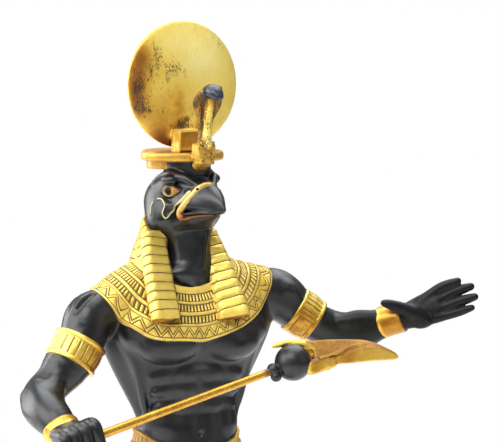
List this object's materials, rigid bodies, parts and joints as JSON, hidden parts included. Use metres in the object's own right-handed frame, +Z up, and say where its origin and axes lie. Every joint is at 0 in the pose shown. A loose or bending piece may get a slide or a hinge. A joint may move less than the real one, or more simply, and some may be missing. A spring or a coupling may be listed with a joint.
{
  "type": "falcon-headed god figurine",
  "caption": "Standing black and gold resin figurine of a falcon-headed god with sun disc crown, striped wig, wide collar and kilt, holding a staff, on a low plinth.",
  "frame": {"origin": "centre of the plinth's underside", "axes": "+Z up; the figure faces -Y and its left hand is on the +X side"},
  "size_m": [0.1887, 0.0785, 0.2853],
  "materials": {
    "black_resin": "satin black paint with gold painted parts",
    "plinth_black": "satin black paint with a gold edge",
    "gold_rod": "gold paint, satin",
    "gold_resin": "gold and black paint, satin"
  },
  "bodies": {
    "root": {"figure": "black_resin", "plinth": "plinth_black", "staff_rod": "gold_rod", "staff_head": "gold_resin"}
  },
  "joints": []
}
